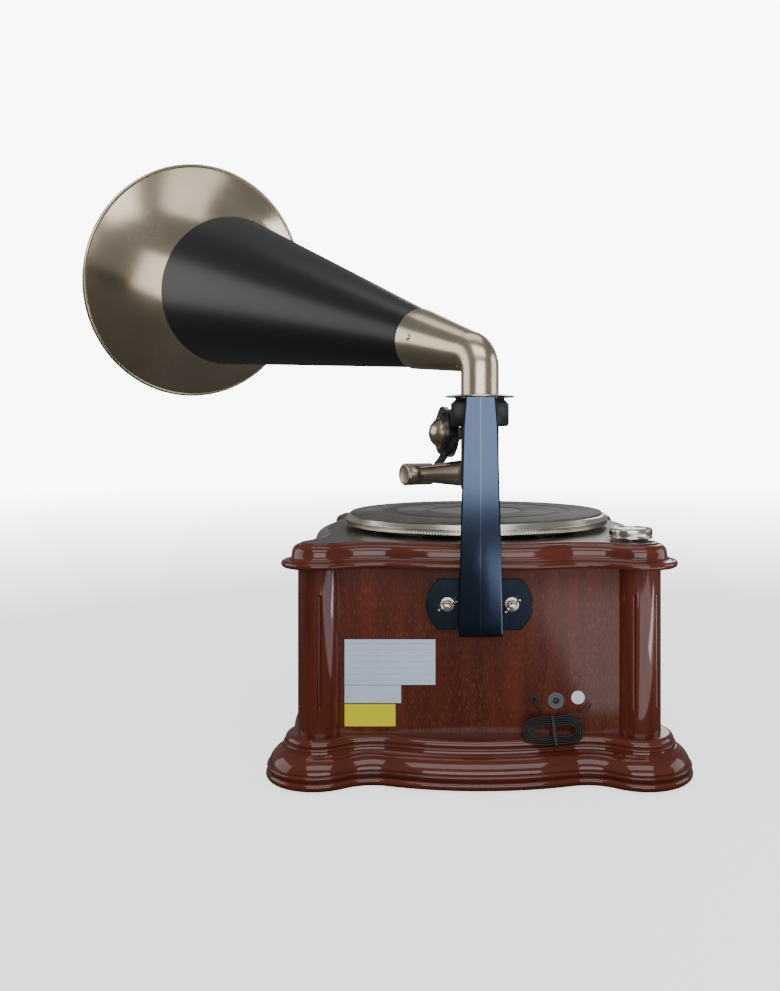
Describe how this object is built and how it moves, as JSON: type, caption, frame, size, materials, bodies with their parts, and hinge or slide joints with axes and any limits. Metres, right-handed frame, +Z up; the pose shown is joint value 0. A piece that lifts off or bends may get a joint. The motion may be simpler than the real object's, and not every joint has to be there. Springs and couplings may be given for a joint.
{
  "type": "gramophone",
  "caption": "Electric table gramophone with a flared horn on a rear swivel bracket, belt-driven platter, folding tonearm head and a carved wooden radio case with corner columns.",
  "frame": {"origin": "on the standing surface, straight below the platter spindle's axis", "axes": "+Z up along the spindle's axis; -Y toward the front, which carries the dial and the two knobs; +Y toward the back, which carries the bracket, the power inlet and the aerial; +X toward the side that the horn points to as stored"},
  "size_m": [0.6835, 0.5522, 0.6681],
  "materials": {
    "rubber": "matte",
    "lacquered_mahogany": "high gloss lacquer over deep red-brown wood",
    "veneer": "satin open-grain veneer",
    "plain_board": "raw board",
    "deck_finish": "dark grained, semi-gloss",
    "bearing_brass": "machined",
    "champagne_metal": "polished champagne plating",
    "mat_rubber": "matte",
    "steel": "bright",
    "motor_steel": "plated can",
    "gloss_black": "glossy",
    "board_green": "solder mask",
    "driver_black": "matte",
    "antique_brass": "satin antique",
    "grey_plastic": "moulded",
    "bright_contact": "plated",
    "black_plastic": "moulded",
    "wire_black": "soft insulation",
    "white_paper": "matte sticker",
    "yellow_paper": "glossy sticker",
    "dial_glass": "printed dial window",
    "pointer_red": "painted",
    "bracket_paint": "gloss blue-black paint",
    "collar_paint": "matte black paint",
    "nickel": "warm nickel plating",
    "bronze_metal": "satin antique champagne",
    "cone_black": "satin black paint",
    "box_black": "semi-gloss black"
  },
  "bodies": {
    "cabinet": {"rubber_feet": "rubber", "base_moulding": "lacquered_mahogany", "bottom_board": "plain_board", "corner_columns": "lacquered_mahogany", "back_panel": "veneer", "front_panel": "lacquered_mahogany", "left_side_panel": "lacquered_mahogany", "right_side_panel": "lacquered_mahogany", "top_moulding": "lacquered_mahogany", "deck_board": "deck_finish", "bearing_housing": "bearing_brass", "drive_belt": "rubber", "motor": "motor_steel", "circuit_board": "board_green", "speaker_drivers": "driver_black", "speaker_grilles": "antique_brass", "power_inlet": "grey_plastic", "power_inlet_pin": "bright_contact", "aerial_grommet": "black_plastic", "aerial_wire": "wire_black", "aerial_hank": "wire_black", "aerial_tail": "wire_black", "wire_tie": "wire_black", "white_labels": "white_paper", "yellow_label": "yellow_paper", "round_sticker": "white_paper", "fascia_plate": "antique_brass", "dial_window": "dial_glass", "bracket_plate": "bracket_paint", "bracket_bar": "bracket_paint", "bracket_bolts": "steel", "bracket_washers": "nickel", "pivot_collar": "collar_paint", "pivot_bush": "bearing_brass"},
    "turntable": {"platter": "champagne_metal", "platter_mat": "mat_rubber", "platter_spindle": "steel"},
    "pulley": {"motor_pulley": "bearing_brass"},
    "deck_control": {"deck_knob": "champagne_metal", "deck_knob_cap": "gloss_black"},
    "pointer": {"dial_pointer": "pointer_red"},
    "tuning": {"tuning_knob": "antique_brass"},
    "volume": {"volume_knob": "antique_brass"},
    "nut_left": {"left_wing_nut": "nickel"},
    "nut_right": {"right_wing_nut": "nickel"},
    "horn": {"horn_elbow": "bronze_metal", "socket_screws": "nickel", "horn_cone": "cone_black", "horn_bell": "bronze_metal", "pivot_flange": "nickel"},
    "arm": {"tonearm_tube": "bronze_metal"},
    "head": {"hinge_pin": "steel", "hinge_cap": "bronze_metal", "head_lever": "collar_paint", "sound_box": "box_black", "sound_box_dome": "bronze_metal", "cartridge": "black_plastic", "stylus": "steel"}
  },
  "joints": [
    {"name": "platter_spin", "type": "hinge", "parent": "cabinet", "child": "turntable", "pos_m": [0, 0, 0.217], "axis": [0, 0, 1], "continuous": true},
    {"name": "pulley_spin", "type": "hinge", "parent": "cabinet", "child": "pulley", "pos_m": [-0.10694, -0.04987, 0.218], "axis": [0, 0, 1], "continuous": true},
    {"name": "horn_swivel", "type": "hinge", "parent": "cabinet", "child": "horn", "pos_m": [0, 0.165, 0.34], "axis": [0, 0, 1], "range_deg": [-84, 48]},
    {"name": "tonearm_swing", "type": "hinge", "parent": "cabinet", "child": "arm", "pos_m": [0, 0.165, 0.3], "axis": [0, 0, 1], "range_deg": [-18, 26]},
    {"name": "head_flip", "type": "hinge", "parent": "arm", "child": "head", "pos_m": [0.05872, 0.07795, 0.2717], "axis": [0.829, 0.5592, 0], "range_deg": [0, 150]},
    {"name": "deck_knob_turn", "type": "hinge", "parent": "cabinet", "child": "deck_control", "pos_m": [-0.1415, 0.13, 0.2145], "axis": [0, 0, 1], "range_deg": [0, 270]},
    {"name": "tuning_turn", "type": "hinge", "parent": "cabinet", "child": "tuning", "pos_m": [0.071, -0.1565, 0.116], "axis": [0, -1, 0], "range_deg": [0, 720]},
    {"name": "dial_slide", "type": "slide", "parent": "cabinet", "child": "pointer", "axis": [1, 0, 0], "range_m": [0, 0.076]},
    {"name": "volume_turn", "type": "hinge", "parent": "cabinet", "child": "volume", "pos_m": [-0.071, -0.1565, 0.116], "axis": [0, -1, 0], "range_deg": [0, 300]},
    {"name": "nut_left_turn", "type": "hinge", "parent": "cabinet", "child": "nut_left", "pos_m": [0.029, 0.16, 0.158], "axis": [0, 1, 0], "range_deg": [0, 360]},
    {"name": "nut_right_turn", "type": "hinge", "parent": "cabinet", "child": "nut_right", "pos_m": [-0.029, 0.16, 0.158], "axis": [0, 1, 0], "range_deg": [0, 360]}
  ],
  "couplings": [
    {"joint": "pulley_spin", "follows": "platter_spin", "ratio": 16.667},
    {"joint": "dial_slide", "follows": "tuning_turn", "m_per_rad": 0.006}
  ]
}
